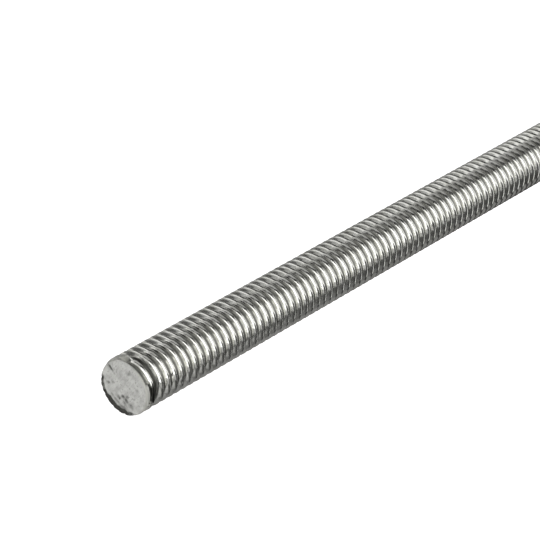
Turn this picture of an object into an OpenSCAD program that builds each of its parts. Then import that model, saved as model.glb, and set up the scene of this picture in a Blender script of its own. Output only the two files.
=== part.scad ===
// Threaded rod: a steel bar with one right-hand metric thread over its whole length.
// The rod lies along +X. The origin is the centre of its near end.

/* [Rod] */
// Length from one cut end to the other
rod_length = 100; // [20:5:120]
// How far the broken edge of each cut end reaches along the rod
end_bevel = 0.3; // [0.1:0.05:0.5]

/* [Thread] */
// Nominal diameter, over the crests
nominal_d = 6; // [5:0.5:8]
// Advance along the rod in one turn
pitch = 1; // [0.8:0.05:1.25]
// Angle between the two flanks of a groove
flank_angle = 60; // [55:1:60]
// Where the ridge leaves the near end, in degrees from +Y towards +Z
start_angle = 38; // [0:1:359]

/* [Mesh] */
// Most triangles that the skin of the thread may have
most_triangles = 12000; // [6000:500:12000]

/* [Hidden] */

// The basic metric profile: a crest of an eighth of the pitch and a root of a quarter
crest_flat = pitch / 8;
root_flat = pitch / 4;
flank_run = (pitch - crest_flat - root_flat) / 2;
thread_depth = flank_run / tan(flank_angle / 2);
crest_r = nominal_d / 2;
root_r = crest_r - thread_depth;

// Corners of one ridge, each as its place along the rod from the ridge's middle and its radius
ridge_corners = [
    [-crest_flat / 2, crest_r],
    [crest_flat / 2, crest_r],
    [crest_flat / 2 + flank_run, root_r],
    [crest_flat / 2 + flank_run + root_flat, root_r],
];
corners = len(ridge_corners);

// The skin starts a turn before the near end and runs out past the far end, where the ends are cut
turns = ceil(rod_length / pitch) + 2;
triangles_per_step = 2 * corners;
steps_per_turn = floor(most_triangles / (triangles_per_step * turns));
last_step = turns * steps_per_turn;

// Space round the rod inside the shape that cuts its ends
cut_clearance = 1;

// A corner of the ridge once it has climbed a number of steps
function ridge_point(step, corner) =
    let (turned = step / steps_per_turn - 1,
         angle = start_angle + 360 * turned,
         radius = ridge_corners[corner][1])
    [pitch * turned + ridge_corners[corner][0], radius * cos(angle), radius * sin(angle)];

// Number of that corner in the list of points
function at(step, corner) = step * corners + corner;

// Two triangles across four corners
function quad(a, b, c, d) = [[a, b, c], [a, c, d]];

// Triangles from a centre to each edge of the closed rim round it
function fan(centre, rim) =
    [for (i = [0:len(rim) - 1]) [centre, rim[(i + 1) % len(rim)], rim[i]]];

// The whole thread as one closed skin, longer than the rod at both ends
module thread_skin() {
    ridge_points = [for (step = [0:last_step]) for (corner = [0:corners - 1]) ridge_point(step, corner)];
    end_centres = [[-pitch, 0, 0], [pitch * (turns - 1), 0, 0]];
    near_centre = len(ridge_points);
    far_centre = near_centre + 1;

    // The crest, the flank that faces the far end and the root
    ridge_faces = [for (step = [0:last_step - 1]) for (corner = [0:corners - 2])
        each quad(at(step, corner), at(step + 1, corner), at(step + 1, corner + 1), at(step, corner + 1))];
    // The flank that faces the near end, from each root to the crest one turn on
    rising_faces = [for (step = [0:last_step - steps_per_turn - 1])
        let (next = step + steps_per_turn)
        each quad(at(step, corners - 1), at(step + 1, corners - 1), at(next + 1, 0), at(next, 0))];
    near_rim = concat(
        [for (step = [0:steps_per_turn]) at(step, 0)],
        [for (corner = [corners - 1:-1:1]) at(0, corner)]);
    far_rim = concat(
        [for (step = [last_step:-1:last_step - steps_per_turn]) at(step, corners - 1)],
        [for (corner = [0:corners - 2]) at(last_step, corner)]);

    polyhedron(
        points = concat(ridge_points, end_centres),
        faces = concat(ridge_faces, rising_faces, fan(near_centre, near_rim), fan(far_centre, far_rim)),
        convexity = 10);
}

// What is left of the bar once both ends are cut square and their edges broken at 45 degrees
module cut_ends() {
    rotate([0, 90, 0])
    rotate_extrude($fn = 96)
    polygon([
        [0, 0],
        [crest_r - end_bevel, 0],
        [crest_r + cut_clearance, end_bevel + cut_clearance],
        [crest_r + cut_clearance, rod_length - end_bevel - cut_clearance],
        [crest_r - end_bevel, rod_length],
        [0, rod_length],
    ]);
}

module rod() {
    color("silver")
    intersection() {
        thread_skin();
        cut_ends();
    }
}

rod();
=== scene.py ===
"""Looks of the threaded rod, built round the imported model. Metres, in the part's own frame.

The rod lies along +X with its near end at the origin. Angles round it run from +Y towards +Z. The solid
thread is replaced by a finer one with rolled corners, a worn and nicked near end, and two metal finishes.
"""
import math

import bmesh
import bpy
import numpy as np
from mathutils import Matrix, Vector


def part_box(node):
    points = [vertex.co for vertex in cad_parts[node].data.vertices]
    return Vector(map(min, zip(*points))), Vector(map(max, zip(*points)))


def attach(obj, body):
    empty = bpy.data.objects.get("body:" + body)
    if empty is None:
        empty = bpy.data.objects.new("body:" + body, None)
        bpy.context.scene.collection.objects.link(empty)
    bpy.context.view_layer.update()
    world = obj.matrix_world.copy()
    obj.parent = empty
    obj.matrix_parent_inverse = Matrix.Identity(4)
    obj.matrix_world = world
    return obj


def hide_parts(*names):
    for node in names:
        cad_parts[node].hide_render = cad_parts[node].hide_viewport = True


MM = 0.001
TURN = 2 * math.pi

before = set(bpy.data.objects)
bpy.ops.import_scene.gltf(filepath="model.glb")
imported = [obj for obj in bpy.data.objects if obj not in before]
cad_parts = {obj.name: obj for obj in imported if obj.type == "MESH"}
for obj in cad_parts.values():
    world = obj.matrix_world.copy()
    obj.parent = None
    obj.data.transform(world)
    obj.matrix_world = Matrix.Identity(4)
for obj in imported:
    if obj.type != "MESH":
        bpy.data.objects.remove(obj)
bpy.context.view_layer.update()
LOW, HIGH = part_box("rod")

# ---- The thread, with the part's own sizes -------------------------------------------------------------
PITCH = 1.0 * MM
LENGTH = HIGH.x - LOW.x
CREST_R = 3.0 * MM
START_ANGLE = math.radians(38)
FLANK_ANGLE = math.radians(60)
CREST_FLAT = PITCH / 8
ROOT_FLAT = PITCH / 4
FLANK_RUN = (PITCH - CREST_FLAT - ROOT_FLAT) / 2
THREAD_DEPTH = FLANK_RUN / math.tan(FLANK_ANGLE / 2)
ROOT_R = CREST_R - THREAD_DEPTH
CREST_ROUNDING = 0.38  # of the flank's height, where it meets the crest
ROOT_ROUNDING = 0.25   # and where it meets the root
TURNS = round(LENGTH / PITCH)

# ---- How fine the mesh is ------------------------------------------------------------------------------
STEPS_PER_TURN = 48
HALF_RIDGE = (0.020, 0.060, 0.105, 0.155, 0.215, 0.290, 0.365, 0.440)  # of a pitch, from the ridge's middle
RING_OFFSETS = PITCH * np.array([-at for at in reversed(HALF_RIDGE)] + list(HALF_RIDGE))
FINE_REACH = 2.1 * PITCH  # the near end is cut finer, for its wear
FINE_CUTS = 2
FACE_RINGS = 26
ON_PLANE = 1e-6           # nearer than this to an end's plane is on it
CUT = 1                   # the material place of the cut ends; the skin has 0

# ---- Wear of the near end ------------------------------------------------------------------------------
# Zones round the end: from and to in degrees, then the blend outside them
WORN = (26, 62, 22)        # the upper left is worn down to a slope
PLAIN = (-25, 76, 12)      # and has no groove yet
RUBBED = (78, 155, 12)     # beside it the first ridge is rubbed low
PUSHED = (100, 235, 25)    # and the first whole ridge is pushed towards the end
SMEARED = (163, 340, 14)   # the saw pushed metal into the first groove here
FULL = (216, 340, 9)       # and filled it up here
CHIPPED = (262, 350, 14)   # the lower left of the rim is broken sharp
RIM_DARK = (250, 364, 10)  # and painted dark, as the shade of the broken edge
RIM_DARK_WIDE = (272, 318, 12)
# Where shade is painted into the first groove
FIRST_GROOVE_SHADE_ZONE = (104, 200, 6)
MATT_TOP = (20, 84, 14)
MATT_SIDE = (84, 165, 10)
MATT_LOW = (165, 300, 14)

# How far the zones reach in from the end. A pair is where a zone starts to fade and where it is gone
PLAIN_REACH = 0.98 * MM
SMEARED_REACH = 0.47 * MM
FULL_REACH = 0.62 * MM            # on top of the smear's
RUBBED_REACH = (0.35 * MM, 0.50 * MM)
PUSHED_REACH = (1.0 * MM, 2.0 * MM)
MATT_TOP_REACH = (0.85 * MM, 1.15 * MM)
MATT_SIDE_REACH = (0.20 * MM, 0.32 * MM)
MATT_LOW_REACH = (-0.07 * MM, 0.09 * MM)  # past the smeared metal
MATT_RIM_REACH = (0.03 * MM, 0.14 * MM)
DARK_RIM_REACH = (0.10 * MM, 0.18 * MM)
FACE_REACH = 0.12 * MM
WEAR_REACH = 1.6 * MM

# Depths, and slopes as radius for length
RIM_BEVEL = 0.14 * MM  # the broken edge all round
WORN_DEPTH = 0.27 * MM
CHIPPED_DEPTH = 0.04 * MM
PUSH = 0.26 * MM
PLAIN_BELOW, PLAIN_SLOPE = 0.03 * MM, 1.5
SMEAR_BELOW, SMEAR_SLOPE = 0.04 * MM, 3.0
EDGE_SLOPE = 0.9
WORN_EASING = 0.35     # how much flatter the worn slope lies
SOFT_EDGE = 0.03 * MM  # how softly worn surfaces run into each other
RUBBED_EDGE = 0.02 * MM
BURIED = 0.1 * MM      # a filling lies this far under the groove where it fills nothing

# How uneven worn places and the rim's painted shade are round the rod: the ripple's size and seed
PLAIN_UNEVEN = (0.08, 5)
SMEARED_UNEVEN = (0.12, 2)
RIM_UNEVEN = (0.15, 9)
MATT_TOP_UNEVEN = (0.1 * MM, 4)
RIM_DARK_UNEVEN = (0.10 * MM, 7)
RIM_DARK_PATCHY = (0.7, 13)

# Shade painted on the near side of the second ridge, in the first groove: its values high up on the rod and
# low down
FIRST_GROOVE_SHADE_CHANGES = (156, 170)   # degrees round the rod: the first up to here, the second from here
FIRST_GROOVE_SHADE_MIDDLE = (1.34 * MM, 1.06 * MM)
FIRST_GROOVE_SHADE_HALF_WIDTH = (0.08 * MM, 0.36 * MM)
FIRST_GROOVE_SHADE_STRENGTH = (0.55, 0.95)
FIRST_GROOVE_SHADE_BLEND = 0.10 * MM
FIRST_GROOVE_SHADE_LEAN = 1.1             # length for radius, so that the line follows the flank
FIRST_GROOVE_SHADE_RADIUS = 2.9 * MM      # and where its middle is told

# The dark band of painted shade on the chipped part of the rim
RIM_DARK_INNER = 2.56 * MM
RIM_DARK_EXTRA = 0.16 * MM   # how much farther in it reaches where it is wide
RIM_DARK_BLEND = (-0.08 * MM, 0.06 * MM)
RIM_DARK_STRENGTH = 1.15

# Chips out of the rim: angle, half width in degrees, depth in mm
RIM_NICKS = (
    (243, 6, 0.08),
    (270, 5, 0.12),
    (286, 4, 0.08),
    (301, 3, 0.10),
    (317, 3, 0.08),
    (329, 3, 0.12),
    (342, 3, 0.08),
    (353, 4, 0.06),
    (3, 4, 0.08),
    (112, 5, 0.08),
    (134, 4, 0.10),
)

# Pits and nicks in the cut face: place as Y and Z in mm, half length and half width in mm, slant, strength
FACE_MARKS = (
    (1.62, 1.60, 0.34, 0.11, -135, 1.0),
    (0.12, -1.05, 0.20, 0.16, 0, 0.95),
    (-0.42, -0.95, 0.15, 0.14, 0, 0.7),
    (-0.30, -1.35, 0.28, 0.16, 50, 0.85),
    (-0.85, -1.75, 0.34, 0.20, 40, 0.5),
    (0.62, -1.30, 0.26, 0.17, 20, 0.7),
    (0.95, -1.75, 0.40, 0.16, 35, 0.65),
    (0.15, -2.25, 0.40, 0.18, 10, 0.75),
    (1.95, -0.10, 0.15, 0.12, 0, 0.7),
    (-0.75, 1.70, 0.24, 0.12, -50, 0.5),
    (1.35, 0.10, 0.12, 0.10, 0, 0.4),
    (-1.75, 0.25, 0.15, 0.12, 0, 0.4),
    (-0.10, -1.75, 0.30, 0.14, 60, 0.5),
    (1.50, -1.30, 0.22, 0.12, 45, 0.5),
    (-1.30, -0.90, 0.12, 0.10, 0, 0.35),
)
FACE_MARK_DEPTH = 0.06 * MM
SAW_WAVE = 0.008 * MM                    # the saw left the faces slightly wavy
SAW_WAVES = ((1900, -800), (700, 1500))  # by two waves, in radians for a metre of Y and of Z

# Dents in the ridges: along the rod in mm, angle, half length in mm, half width in degrees, depth in mm
RIDGE_DENTS = (
    (3.62, 101, 0.30, 11, 0.20),
    (3.5, 176, 0.20, 7, 0.16),
    (5.4, 196, 0.22, 5, 0.10),
    (9.3, 112, 0.2, 6, 0.10),
    (17.6, 150, 0.22, 6, 0.04),
    (31.3, 98, 0.25, 7, 0.05),
    (46.2, 168, 0.2, 6, 0.03),
    (63.5, 20, 0.3, 8, 0.12),
    (78.4, 300, 0.3, 8, 0.12),
)


def smooth_step(low, high, value):
    """0 up to low, 1 from high, and smooth between them."""
    t = np.clip((value - low) / (high - low), 0, 1)
    return t * t * (3 - 2 * t)


def fade(low, high, value):
    """1 up to low, 0 from high, and smooth between them."""
    return 1 - smooth_step(low, high, value)


def between(pair, share):
    """From the first of a pair, at a share of 0, to the second, at 1."""
    return pair[0] + (pair[1] - pair[0]) * share


def soft_min(a, b, blend):
    h = np.clip(0.5 + 0.5 * (b - a) / blend, 0, 1)
    return b + (a - b) * h - blend * h * (1 - h)


def soft_max(a, b, blend):
    return -soft_min(-a, -b, blend)


def degrees_from(angle, centre):
    """How far an angle round the rod lies from a centre, in degrees. The angle is in radians."""
    return np.abs((np.degrees(angle) - centre + 180) % 360 - 180)


def bump_at(angle, centre, half_width):
    """1 at a place round the rod, falling to 0 at a number of degrees from it."""
    return fade(0, half_width, degrees_from(angle, centre))


def sector(angle, start, end, blend):
    """1 between two angles round the rod, falling to 0 over a blend outside them, in degrees."""
    centre = (start + end) / 2
    half = (end - start) / 2
    return fade(half, half + blend, degrees_from(angle, centre))


def ripple(angle, size, seed):
    """A smooth uneven value round the rod, between -size and size: four waves, by their count and share."""
    waves = ((3, 0.35), (7, 0.25), (13, 0.2), (23, 0.2))
    return size * sum(share * np.sin(count * angle + seed * (count + 1.7)) for count, share in waves)


# ---- The rod's mesh ------------------------------------------------------------------------------------
def thread_radius(x, angle):
    """Radius of the thread at a place along the rod and an angle round it."""
    x = x + PUSH * sector(angle, *PUSHED) * fade(*PUSHED_REACH, x)
    turned = x / PITCH - (angle - START_ANGLE) / TURN
    from_ridge = np.abs(turned - np.round(turned)) * PITCH
    down = (from_ridge - CREST_FLAT / 2) / FLANK_RUN
    down = soft_max(soft_min(down, 1.0, ROOT_ROUNDING), 0.0, CREST_ROUNDING)
    return CREST_R - THREAD_DEPTH * down


def fill_groove(r, x, share, end, below, slope):
    """Fills the groove where share is 1, to a little below the crest, and slopes off past an end."""
    filled = CREST_R - below - slope * np.maximum(x - end, 0)
    return soft_max(r, ROOT_R + (filled - ROOT_R) * share - BURIED * (share <= 0), SOFT_EDGE)


def rim_depth(angle, worn):
    """How deep the rim's edge is broken, with its nicks."""
    chipped = sector(angle, *CHIPPED)
    depth = RIM_BEVEL + (WORN_DEPTH - RIM_BEVEL) * worn + (CHIPPED_DEPTH - RIM_BEVEL) * chipped
    depth = depth * (1 + ripple(angle, *RIM_UNEVEN))
    for centre, half_width, nick in RIM_NICKS:
        depth = depth + nick * MM * bump_at(angle, centre, half_width)
    return depth


def near_end_wear(x, angle, r):
    """The near end's filled groove, slope, rubbed ridge, broken rim and chips, worked into the radius."""
    plain_end = PLAIN_REACH * (1 + ripple(angle, *PLAIN_UNEVEN))
    r = fill_groove(r, x, sector(angle, *PLAIN), plain_end, PLAIN_BELOW, PLAIN_SLOPE)
    smear_end = SMEARED_REACH * (1 + ripple(angle, *SMEARED_UNEVEN)) + FULL_REACH * sector(angle, *FULL)
    r = fill_groove(r, x, sector(angle, *SMEARED), smear_end, SMEAR_BELOW, SMEAR_SLOPE)
    rubbed = sector(angle, *RUBBED) * fade(*RUBBED_REACH, x)
    r = soft_min(r, CREST_R - RIM_BEVEL * rubbed, RUBBED_EDGE)
    worn = sector(angle, *WORN)
    slope = EDGE_SLOPE - WORN_EASING * worn
    return soft_min(r, CREST_R - rim_depth(angle, worn) + slope * x, SOFT_EDGE)


def near_end_matt(x, angle):
    """Where the near end is rubbed matt: 1 there, 0 on the bright thread."""
    top = sector(angle, *MATT_TOP) * fade(*MATT_TOP_REACH, x + ripple(angle, *MATT_TOP_UNEVEN))
    side = sector(angle, *MATT_SIDE) * fade(*MATT_SIDE_REACH, x)
    smeared = SMEARED_REACH + FULL_REACH * sector(angle, *FULL)
    low = sector(angle, *MATT_LOW) * fade(*MATT_LOW_REACH, x - smeared)
    rim = fade(*MATT_RIM_REACH, x)
    return np.maximum.reduce([top, low, side, rim])


def first_groove_painted_shade(x, angle, r):
    """Shade painted on the near side of the second ridge: a thin line high up, nearly all of the flank low
    down.
    """
    low = smooth_step(*FIRST_GROOVE_SHADE_CHANGES, np.degrees(angle) % 360)
    from_middle = x - FIRST_GROOVE_SHADE_LEAN * (FIRST_GROOVE_SHADE_RADIUS - r) - between(FIRST_GROOVE_SHADE_MIDDLE, low)
    half_width = between(FIRST_GROOVE_SHADE_HALF_WIDTH, low)
    line = fade(half_width, half_width + FIRST_GROOVE_SHADE_BLEND, np.abs(from_middle))
    return line * sector(angle, *FIRST_GROOVE_SHADE_ZONE) * between(FIRST_GROOVE_SHADE_STRENGTH, low)


def rim_painted_shade(x, angle, r):
    """The dark, uneven band of painted shade on the chipped part of the rim, where its edge is broken."""
    inner = RIM_DARK_INNER - RIM_DARK_EXTRA * sector(angle, *RIM_DARK_WIDE)
    inner = inner + ripple(angle, *RIM_DARK_UNEVEN)
    rim = sector(angle, *RIM_DARK) * smooth_step(*RIM_DARK_BLEND, r - inner)
    return rim * fade(*DARK_RIM_REACH, x) * (RIM_DARK_STRENGTH + ripple(angle, *RIM_DARK_PATCHY))


def face_mark(x, y, z, mark):
    """One pit or nick of the cut face."""
    centre_y, centre_z, length, width, slant, strength = mark
    turn = math.radians(slant)
    from_y = y - centre_y * MM
    from_z = z - centre_z * MM
    along = (from_y * math.cos(turn) + from_z * math.sin(turn)) / (length * MM)
    across = (from_z * math.cos(turn) - from_y * math.sin(turn)) / (width * MM)
    dark = np.minimum(0.85, 1.6 * np.exp(-along ** 2 - across ** 2))
    return strength * dark * (x < FACE_REACH)


def near_end_dark(x, y, z):
    """Dark places of the near end: shade painted on the chipped rim and into the first groove, and the pits
    and nicks of the cut face.
    """
    angle = np.arctan2(z, y)
    r = np.hypot(y, z)
    dark = np.maximum(rim_painted_shade(x, angle, r), first_groove_painted_shade(x, angle, r))
    for mark in FACE_MARKS:
        dark = np.maximum(dark, face_mark(x, y, z, mark))
    return np.clip(dark, 0, 1)


def far_end_edge(x, r):
    """The far end is only cut and its edge broken."""
    return soft_min(r, CREST_R - RIM_BEVEL + EDGE_SLOPE * (LENGTH - x), SOFT_EDGE)


def worn_radius(x, angle):
    r = thread_radius(x, angle)
    r = np.where(x < WEAR_REACH, near_end_wear(x, angle, r), r)
    r = far_end_edge(x, r)
    for along, centre, half_length, half_width, depth in RIDGE_DENTS:
        dent = bump_at(angle, centre, half_width) * fade(0, half_length * MM, np.abs(x - along * MM))
        r = r - depth * MM * dent * smooth_step(ROOT_R, CREST_R, r)
    return r


def thread_grid():
    """Vertices and faces of the thread's skin, a turn longer than the rod at both ends."""
    rings = len(RING_OFFSETS)
    step = np.arange(STEPS_PER_TURN) / STEPS_PER_TURN
    along = (np.arange(-1, TURNS + 2)[:, None] * PITCH + RING_OFFSETS[None, :]).ravel()
    x = along[:, None] + PITCH * step[None, :]
    angle = np.broadcast_to(START_ANGLE + TURN * step[None, :], x.shape)
    r = thread_radius(x, angle)
    points = np.stack([x, r * np.cos(angle), r * np.sin(angle)], axis=-1).reshape(-1, 3)
    rows, cols = x.shape

    def index(row, col):
        return (row + rings * (col // cols)) * cols + col % cols

    faces = [
        (index(row, col), index(row, col + 1), index(row + 1, col + 1), index(row + 1, col))
        for row in range(rows - 1 - rings) for col in range(cols)
    ]
    return points, faces


def refine_near_end(bm):
    edges = [e for e in bm.edges if max(v.co.x for v in e.verts) < FINE_REACH]
    bmesh.ops.subdivide_edges(bm, edges=edges, cuts=FINE_CUTS, use_grid_fill=True)


def cut_end(bm, plane_x, keep):
    """Cuts the skin square and returns the rim's vertices, in order round the rod."""
    bmesh.ops.bisect_plane(
        bm, geom=bm.verts[:] + bm.edges[:] + bm.faces[:], dist=1e-8,
        plane_co=(plane_x, 0, 0), plane_no=(-keep, 0, 0), clear_outer=True,
    )
    open_edges = [e for e in bm.edges if e.is_boundary]
    rim = {v for e in open_edges for v in e.verts if abs(v.co.x - plane_x) < ON_PLANE}
    return sorted(rim, key=lambda v: math.atan2(v.co.z, v.co.y))


def wear_down(bm):
    """Moves every vertex of the skin to the worn radius."""
    co = np.array([v.co[:] for v in bm.verts])
    angle = np.arctan2(co[:, 2], co[:, 1])
    r = worn_radius(co[:, 0], angle)
    for v, radius, a in zip(bm.verts, r.tolist(), angle.tolist()):
        v.co.y = radius * math.cos(a)
        v.co.z = radius * math.sin(a)


def face_depth(x, y, z):
    """How deep a cut face lies under its rim: a slight saw waviness, and at the near end its marks and the
    band of painted shade on the chipped rim.
    """
    first, second = (math.sin(along_y * y + along_z * z) for along_y, along_z in SAW_WAVES)
    wave = SAW_WAVE * (1 + first * second)
    return wave + FACE_MARK_DEPTH * float(near_end_dark(np.float64(x), y, z))


def close_end(bm, rim):
    """Rings of faces from the rim to the middle of the cut."""
    outer = rim
    made = []
    into = 1 if rim[0].co.x < LENGTH / 2 else -1
    for ring in range(1, FACE_RINGS):
        share = 1 - ring / FACE_RINGS
        inner = [bm.verts.new((v.co.x, v.co.y * share, v.co.z * share)) for v in rim]
        for v in inner:
            v.co.x += into * face_depth(v.co.x, v.co.y, v.co.z)
        for i in range(len(rim)):
            j = (i + 1) % len(rim)
            made.append(bm.faces.new((outer[i], outer[j], inner[j], inner[i])))
        outer = inner
    middle = bm.verts.new((rim[0].co.x, 0, 0))
    for i in range(len(rim)):
        made.append(bm.faces.new((outer[i], outer[(i + 1) % len(rim)], middle)))
    for face in made:
        face.material_index = CUT


def skin_normals(co):
    """The true normals of the worn skin, from the slopes of its radius along and round the rod."""
    x = co[:, 0]
    angle = np.arctan2(co[:, 2], co[:, 1])
    along = 0.003 * MM
    around = math.radians(0.1)
    r = worn_radius(x, angle)
    slope_x = (worn_radius(x + along, angle) - worn_radius(x - along, angle)) / (2 * along)
    slope_a = (worn_radius(x, angle + around) - worn_radius(x, angle - around)) / (2 * around * r)
    normal = np.stack([
        -slope_x,
        np.cos(angle) + slope_a * np.sin(angle),
        np.sin(angle) - slope_a * np.cos(angle),
    ], axis=-1)
    return normal / np.linalg.norm(normal, axis=1, keepdims=True)


def shade(mesh, co):
    """Skin corners take the skin's true normals, and corners of the cut ends face along the rod."""
    corner = np.empty(len(mesh.loops), dtype=np.int32)
    mesh.loops.foreach_get("vertex_index", corner)
    counts = [p.loop_total for p in mesh.polygons]
    cut = np.repeat([p.material_index == CUT for p in mesh.polygons], counts)
    normals = skin_normals(co)[corner]
    plain = np.empty(len(mesh.vertices) * 3)
    mesh.vertex_normals.foreach_get("vector", plain)
    normals[cut] = plain.reshape(-1, 3)[corner][cut]
    from_middle = co[corner][:, 0] - LENGTH / 2
    on_rim = cut & (np.abs(from_middle) > LENGTH / 2 - ON_PLANE)
    normals[on_rim] = 0
    normals[on_rim, 0] = np.sign(from_middle[on_rim])
    mesh.normals_split_custom_set(normals.tolist())


def mark_wear_and_shade(mesh, co):
    """Keeps on the vertices where the metal is matt, and where it is dark from marks and from painted
    shade, for the materials.
    """
    x, y, z = co[:, 0], co[:, 1], co[:, 2]
    far_rim = fade(*MATT_RIM_REACH, LENGTH - x)
    marks = {
        "matt": np.maximum(near_end_matt(x, np.arctan2(z, y)), far_rim),
        "dark": near_end_dark(x, y, z),
    }
    for name, values in marks.items():
        layer = mesh.attributes.new(name, "FLOAT", "POINT")
        layer.data.foreach_set("value", values.astype(np.float32))


def build_rod():
    points, faces = thread_grid()
    mesh = bpy.data.meshes.new("threaded_rod")
    mesh.from_pydata(points.tolist(), [], faces)
    bm = bmesh.new()
    bm.from_mesh(mesh)
    refine_near_end(bm)
    near_rim = cut_end(bm, 0.0, 1)
    far_rim = cut_end(bm, LENGTH, -1)
    wear_down(bm)
    close_end(bm, near_rim)
    close_end(bm, far_rim)
    bmesh.ops.recalc_face_normals(bm, faces=bm.faces[:])
    for f in bm.faces:
        f.smooth = True
    bm.to_mesh(mesh)
    bm.free()
    co = np.empty(len(mesh.vertices) * 3)
    mesh.vertices.foreach_get("co", co)
    co = co.reshape(-1, 3)
    shade(mesh, co)
    mark_wear_and_shade(mesh, co)
    rod = bpy.data.objects.new("threaded_rod", mesh)
    bpy.context.scene.collection.objects.link(rod)
    return rod


# ---- Materials -----------------------------------------------------------------------------------------
class Nodes:
    """A short way to write the nodes of a material or of the world."""

    def __init__(self, owner, shader):
        owner.use_nodes = True
        self.owner = owner
        self.tree = owner.node_tree
        self.shader = self.tree.nodes[shader]

    def add(self, kind, inputs=(), **settings):
        node = self.tree.nodes.new(kind)
        for key, value in settings.items():
            setattr(node, key, value)
        for key, value in dict(inputs).items():
            self.set(node.inputs[key], value)
        return node

    def set(self, socket, value):
        if isinstance(value, bpy.types.NodeSocket):
            self.tree.links.new(value, socket)
        else:
            socket.default_value = value

    def math(self, operation, a, b=0.0, c=0.0):
        return self.add("ShaderNodeMath", {0: a, 1: b, 2: c}, operation=operation).outputs[0]

    def ramp(self, value, low, high, start=0.0, end=1.0):
        """start up to low, end from high, and smooth between them."""
        inputs = {"Value": value, "From Min": low, "From Max": high, "To Min": start, "To Max": end}
        return self.add("ShaderNodeMapRange", inputs, interpolation_type="SMOOTHSTEP").outputs["Result"]

    def mix(self, share, a, b):
        node = self.add("ShaderNodeMix", data_type="RGBA")
        for socket, value in ((node.inputs["Factor"], share), (node.inputs[6], a), (node.inputs[7], b)):
            self.set(socket, value)
        return node.outputs[2]

    def noise(self, vector, scale, detail, rough=0.5):
        inputs = {"Vector": vector, "Scale": scale, "Detail": detail, "Roughness": rough}
        return self.add("ShaderNodeTexNoise", inputs).outputs["Fac"]

    def vector(self, x, y, z):
        return self.add("ShaderNodeCombineXYZ", {"X": x, "Y": y, "Z": z}).outputs[0]

    def bump(self, height, strength, distance, normal=None):
        inputs = {"Height": height, "Strength": strength, "Distance": distance}
        if normal is not None:
            inputs["Normal"] = normal
        return self.add("ShaderNodeBump", inputs).outputs["Normal"]

    def mark(self, name):
        """A value kept on the mesh's vertices."""
        return self.add("ShaderNodeAttribute", attribute_name=name).outputs["Fac"]

    def place(self):
        """The object's own coordinates, as one vector and as x, y and z."""
        position = self.add("ShaderNodeTexCoord").outputs["Object"]
        xyz = self.add("ShaderNodeSeparateXYZ", {0: position})
        return position, xyz.outputs[0], xyz.outputs[1], xyz.outputs[2]

    def picture_ray(self):
        """1 for rays from the camera, off a mirror or through glass, and 0 for all others."""
        path = self.add("ShaderNodeLightPath")
        seen = self.math("MAXIMUM", path.outputs["Is Camera Ray"], path.outputs["Is Glossy Ray"])
        return self.math("MAXIMUM", seen, path.outputs["Is Transmission Ray"])


def new_material(name):
    return Nodes(bpy.data.materials.new(name), "Principled BSDF")


STEEL = (0.68, 0.68, 0.65, 1)
STEEL_SHADE = (0.54, 0.54, 0.50, 1)
MATT_STEEL = (0.62, 0.62, 0.57, 1)
# The colour of the shade painted into the grooves
GROOVE_SHADE_COLOUR = (0.15, 0.15, 0.135, 1)
# The colour of dark marks and of painted shade
DARK_MARK_AND_SHADE = (0.028, 0.028, 0.024, 1)
CUT_STEEL = (0.32, 0.32, 0.305, 1)
CUT_STEEL_PALE = (0.46, 0.46, 0.44, 1)
GROOVE_SHADE_WHOLE = ROOT_R + 0.06 * THREAD_DEPTH  # the shade painted into the groove is whole up to here
GROOVE_SHADE_GONE = ROOT_R + 0.32 * THREAD_DEPTH   # and has gone from here up
SCRATCH_SLANT = (0.62, 0.78)               # of the saw's scratches: cosine and sine
SCRATCH_SCALES = (900.0, 9000.0)           # of the noise: along the scratches and across them
ROLLED_SCALES = (26.0, 2300.0)             # across a ridge, for one pitch, and along the rod


def place_in_pitch(n, x, y, z):
    """How far across its ridge a point lies, from 0 in one groove to 1 in the next."""
    round_rod = n.math("DIVIDE", n.math("ARCTAN2", z, y), TURN)
    turned = n.math("SUBTRACT", n.math("DIVIDE", x, PITCH), round_rod)
    return n.math("FRACT", n.math("ADD", turned, 0.5 + START_ANGLE / TURN))


def groove_painted_shade(n, y, z, cloud):
    """1 where shade is painted into the grooves, whole near the root, broken up by clouds."""
    radius = n.math("SQRT", n.math("ADD", n.math("MULTIPLY", y, y), n.math("MULTIPLY", z, z)))
    groove = n.ramp(radius, GROOVE_SHADE_WHOLE, GROOVE_SHADE_GONE, 1.0, 0.0)
    return n.math("MULTIPLY", groove, n.ramp(cloud, 0.25, 0.6, 0.65, 1.0))


def rolled_marks(n, x, y, z):
    """Long thin noise that runs along the ridges, as the rolling left it."""
    across = n.math("MULTIPLY", place_in_pitch(n, x, y, z), ROLLED_SCALES[0])
    along_rod = n.math("MULTIPLY", x, ROLLED_SCALES[1])
    return n.noise(n.vector(across, along_rod, 0.0), scale=1.0, detail=3.0, rough=0.65)


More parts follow.
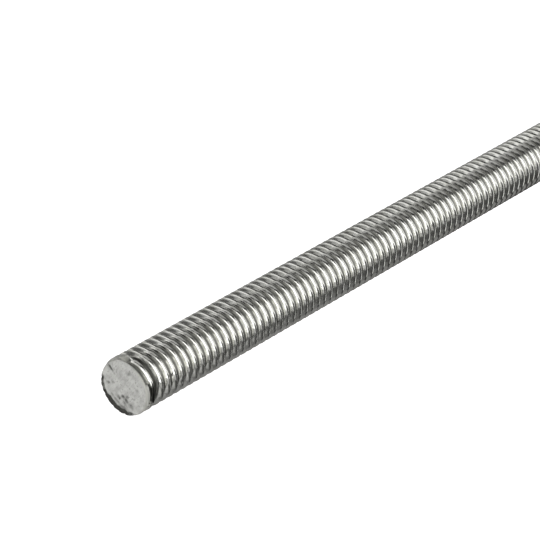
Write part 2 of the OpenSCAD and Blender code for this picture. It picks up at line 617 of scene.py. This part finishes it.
def thread_steel():
    """Bright rolled steel, with fine marks along the ridges and shade painted into the grooves."""
    n = new_material("steel_thread")
    position, x, y, z = n.place()
    cloud = n.noise(position, scale=700.0, detail=3.0)
    fine = n.noise(position, scale=5200.0, detail=3.0, rough=0.6)
    groove_shade = groove_painted_shade(n, y, z, cloud)
    matt = n.mark("matt")

    tone = n.math("ADD", n.math("MULTIPLY", fine, 0.4), n.math("MULTIPLY", cloud, 0.6))
    clean = n.mix(n.ramp(tone, 0.35, 0.65), STEEL_SHADE, STEEL)
    # Shade painted into the grooves, towards the root
    bright = n.mix(groove_shade, clean, GROOVE_SHADE_COLOUR)
    steel = n.mix(matt, bright, n.mix(cloud, STEEL_SHADE, MATT_STEEL))
    # Dark marks, and shade painted into the first groove and on the chipped rim
    n.set(n.shader.inputs["Base Color"], n.mix(n.mark("dark"), steel, DARK_MARK_AND_SHADE))

    marks = rolled_marks(n, x, y, z)
    rough = n.math("ADD", n.ramp(fine, 0.3, 0.7, 0.09, 0.15), n.math("MULTIPLY", groove_shade, 0.25))
    rough = n.math("ADD", rough, n.ramp(marks, 0.5, 0.8, 0.0, 0.06))
    n.set(n.shader.inputs["Roughness"], n.math("MAXIMUM", rough, n.math("MULTIPLY", matt, 0.5)))
    rolled = n.bump(marks, strength=0.30, distance=0.0015 * MM)
    n.set(n.shader.inputs["Normal"], n.bump(fine, strength=0.20, distance=0.008 * MM, normal=rolled))
    n.set(n.shader.inputs["Metallic"], n.ramp(matt, 0.0, 1.0, 1.0, 0.4))
    return n.owner


def saw_scratches(n, y, z):
    """Long thin noise that slants across the cut face."""
    cosine, sine = SCRATCH_SLANT
    along = n.math("ADD", n.math("MULTIPLY", y, cosine), n.math("MULTIPLY", z, -sine))
    across = n.math("ADD", n.math("MULTIPLY", y, sine), n.math("MULTIPLY", z, cosine))
    along = n.math("MULTIPLY", along, SCRATCH_SCALES[0])
    across = n.math("MULTIPLY", across, SCRATCH_SCALES[1])
    return n.noise(n.vector(along, across, 0.0), scale=1.0, detail=4.0, rough=0.6)


def cut_steel():
    """The sawn and rubbed end faces: matt grey, with slanting scratches, small pits, dark marks and shade
    painted on the chipped rim.
    """
    n = new_material("steel_cut")
    position, _, y, z = n.place()
    scratches = saw_scratches(n, y, z)
    cloud = n.noise(position, scale=1500.0, detail=3.0)
    pits = n.noise(position, scale=4200.0, detail=2.0, rough=0.55)

    tone = n.math("ADD", n.math("MULTIPLY", scratches, 0.5), n.math("MULTIPLY", cloud, 0.5))
    plain = n.mix(n.ramp(tone, 0.38, 0.62), CUT_STEEL, CUT_STEEL_PALE)
    # Dark marks and pits, and shade painted on the chipped rim
    dark_marks_and_shade = n.math("ADD", n.math("MULTIPLY", n.mark("dark"), 0.95), n.ramp(pits, 0.56, 0.72, 0.0, 0.4))
    n.set(n.shader.inputs["Base Color"], n.mix(dark_marks_and_shade, plain, DARK_MARK_AND_SHADE))
    n.set(n.shader.inputs["Roughness"], n.ramp(scratches, 0.3, 0.7, 0.40, 0.55))
    grain = n.bump(scratches, strength=0.5, distance=0.012 * MM)
    n.set(n.shader.inputs["Normal"], n.bump(cloud, strength=0.4, distance=0.03 * MM, normal=grain))
    n.shader.inputs["Metallic"].default_value = 1
    return n.owner


# ---- Floor and cards -----------------------------------------------------------------------------------
FLOOR_DROP = 100 * MM
FLOOR_HALF = 3.0
FLOOR_COLOUR = 0.9
FLOOR_FILL = 0.90
CARD_LIFT = 2 * MM
CARD_STEP = 6                       # degrees of arc, about, to one side of a card
LIT_FROM = Vector((12 * MM, 0, 0))  # the cards' and the lamps' directions are told from here

# What the metal mirrors in the floor, as painted reflections: cards that no camera, shadow or diffuse ray
# sees. Azimuth in degrees, distance in metres, level where the floor is 1
FLOOR_CARDS = (
    ("card_under", (0, 360), (0.0, 0.036), 0.22),
    ("card_round_left", (90, 180), (0.036, 0.070), 0.22),
    ("card_round_front", (180, 224), (0.036, 0.070), 0.13),
    ("card_round", (224, 450), (0.036, 0.070), 0.04),
    ("card_end_near", (180, 198), (0.070, 0.096), 0.32),
    ("card_end", (180, 198), (0.096, 0.150), 0.48),
    ("card_end_far", (180, 206), (0.150, 0.200), 0.30),
    ("card_end_farther", (180, 216), (0.200, 2.9), 0.32),
    ("card_front_near", (198, 206), (0.070, 0.150), 0.09),
    ("card_front_left", (206, 218), (0.070, 0.150), 0.06),
    ("card_front", (218, 262), (0.070, 0.150), 0.045),
    ("card_corner", (206, 218), (0.150, 0.200), 0.40),
    ("card_front_middle", (218, 262), (0.150, 0.200), 0.05),
    ("card_front_far", (216, 262), (0.200, 2.9), 0.05),
    ("card_right", (285, 445), (0.070, 2.9), 0.04),
)


def flat_piece(name, corners, material):
    mesh = bpy.data.meshes.new(name)
    mesh.from_pydata(corners, [], [tuple(range(len(corners)))])
    mesh.materials.append(material)
    piece = bpy.data.objects.new(name, mesh)
    bpy.context.scene.collection.objects.link(piece)
    return piece


def floor_paint(name, level):
    """A matt floor or card. In the picture and in the metal it gives itself what the lamps do not."""
    n = new_material(name)
    tone = FLOOR_COLOUR * level
    n.shader.inputs["Base Color"].default_value = (tone, tone, tone, 1)
    n.shader.inputs["Roughness"].default_value = 1
    n.shader.inputs["Emission Color"].default_value = (1, 1, 1, 1)
    n.set(n.shader.inputs["Emission Strength"], n.math("MULTIPLY", n.picture_ray(), FLOOR_FILL * level))
    return n.owner


def add_floor():
    s = FLOOR_HALF
    z = -FLOOR_DROP
    flat_piece("floor", [(-s, -s, z), (s, -s, z), (s, s, z), (-s, s, z)], floor_paint("floor_white", 1.0))


def floor_card(name, azimuth, reach, level):
    """A card on the floor, hidden from the camera, from shadows and from diffuse light: a painted
    reflection that gives the bright metal something dark to mirror.
    """
    z = CARD_LIFT - FLOOR_DROP
    steps = max(2, int((azimuth[1] - azimuth[0]) / CARD_STEP))
    angles = [math.radians(azimuth[0] + (azimuth[1] - azimuth[0]) * i / steps) for i in range(steps + 1)]
    inner, outer = reach
    ring = [(inner * math.cos(a), inner * math.sin(a)) for a in angles]
    ring += [(outer * math.cos(a), outer * math.sin(a)) for a in reversed(angles)]
    card = flat_piece(name, [(x + LIT_FROM.x, y, z) for x, y in ring], floor_paint(name, level))
    card.visible_camera = False
    card.visible_shadow = False
    card.visible_diffuse = False


# ---- Lamps and world -----------------------------------------------------------------------------------
SOFTBOX_DISTANCE = 1.2

# Azimuth and elevation in degrees, brightness where 1 is white, distance in metres
SOFTBOXES = (
    # On the camera's side: the cut face and the bright band along the middle
    ("box_end", (181, 211), (-3, 22), 2.1, 0.3),
    ("box_end_low", (193, 212), (-21, -3), 2.1, 0.25),
    ("box_front", (211, 255), (3, 35), 0.95, SOFTBOX_DISTANCE),
    ("box_side", (255, 286), (-13, 34), 1.25, 0.35),
    ("box_side_right", (286, 300), (-6, 42), 1.35, 0.6),
    ("box_high", (215, 305), (35, 54), 0.8, SOFTBOX_DISTANCE),
    ("box_right", (300, 345), (3, 42), 0.4, SOFTBOX_DISTANCE),
    # Behind and to the left: the stripes along the top of the rod
    ("box_left", (150, 181), (11, 23), 0.9, SOFTBOX_DISTANCE),
    ("box_back_left", (84, 165), (22, 48), 0.45, SOFTBOX_DISTANCE),
    ("box_back_left_core", (104, 158), (30, 41), 0.82, 1.15),
    ("box_left_low", (75, 118), (9, 22), 0.22, SOFTBOX_DISTANCE),
    ("box_left_back", (118, 150), (8, 22), 0.08, SOFTBOX_DISTANCE),
    # Dim ones for the side away from the camera and for above
    ("box_back", (15, 85), (18, 42), 0.35, SOFTBOX_DISTANCE),
    ("box_top", (170, 330), (60, 90), 0.5, SOFTBOX_DISTANCE),
)

BAND_TOP = 6.5       # degrees up that the white band on the horizon reaches
BAND_BLUR = 2
BAND_LEVEL = 1.0     # as seen
BAND_LIGHT = 0.4     # as it lights
STUDIO_LEVEL = 0.06


def direction(azimuth, elevation):
    """From +X towards +Y, and up, in degrees."""
    a = math.radians(azimuth)
    e = math.radians(elevation)
    return Vector((math.cos(e) * math.cos(a), math.cos(e) * math.sin(a), math.sin(e)))


def width_of(angles, distance):
    """How wide a flat thing has to be to fill a range of angles at a distance."""
    return 2 * distance * math.tan(math.radians((angles[1] - angles[0]) / 2))


def softbox(name, azimuth, elevation, brightness, distance):
    """An area light that fills a range of azimuth and of elevation, seen from the rod."""
    middle = direction(sum(azimuth) / 2, sum(elevation) / 2)
    light = bpy.data.lights.new(name, "AREA")
    light.shape = "RECTANGLE"
    light.size = width_of(azimuth, distance) * math.hypot(middle.x, middle.y)
    light.size_y = width_of(elevation, distance)
    light.energy = brightness * math.pi * light.size * light.size_y
    lamp = bpy.data.objects.new(name, light)
    bpy.context.scene.collection.objects.link(lamp)
    lamp.location = LIT_FROM + middle * distance
    lamp.rotation_mode = "QUATERNION"
    lamp.rotation_quaternion = middle.to_track_quat("Z", "Y")
    lamp.visible_camera = False


def add_world():
    """A dim studio, with a white band low round the horizon for the views that look along the floor."""
    world = bpy.data.worlds.new("world")
    bpy.context.scene.world = world
    n = Nodes(world, "Background")
    band = n.ramp(n.picture_ray(), 0.0, 1.0, BAND_LIGHT, BAND_LEVEL)
    way = n.add("ShaderNodeSeparateXYZ", {0: n.add("ShaderNodeTexCoord").outputs["Generated"]})
    low = math.sin(math.radians(BAND_TOP))
    high = math.sin(math.radians(BAND_TOP + BAND_BLUR))
    n.shader.inputs["Color"].default_value = (1, 1, 1, 1)
    n.set(n.shader.inputs["Strength"], n.ramp(way.outputs[2], low, high, band, STUDIO_LEVEL))


# ---- Camera: a long lens that looks down on the near end -----------------------------------------------
FOCAL_PX = 2467.0
PICTURE_PX = 540
SENSOR = 36.0
TILT = 26.77
ROD_TURN = 39.3
NEAR_END_IN_CAMERA = Vector((-4.64, 3.72, 78.12)) * CREST_R  # to the right, down and forward


def add_camera():
    data = bpy.data.cameras.new("camera")
    data.sensor_width = SENSOR
    data.lens = SENSOR * FOCAL_PX / PICTURE_PX
    data.clip_start = 0.01
    data.clip_end = 20
    camera = bpy.data.objects.new("camera", data)
    bpy.context.scene.collection.objects.link(camera)
    forward = direction(ROD_TURN, -TILT)
    right = forward.cross(Vector((0, 0, 1))).normalized()
    down = forward.cross(right)
    place = NEAR_END_IN_CAMERA
    camera.location = -(right * place.x + down * place.y + forward * place.z)
    camera.rotation_mode = "QUATERNION"
    camera.rotation_quaternion = forward.to_track_quat("-Z", "Y")
    bpy.context.scene.camera = camera


# ---- The scene -----------------------------------------------------------------------------------------
rod = build_rod()
rod.data.materials.append(thread_steel())
rod.data.materials.append(cut_steel())
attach(rod, "root")
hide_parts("rod")

add_floor()
for card in FLOOR_CARDS:
    floor_card(*card)
for box in SOFTBOXES:
    softbox(*box)
add_world()
add_camera()
bpy.context.scene.view_settings.view_transform = "Standard"
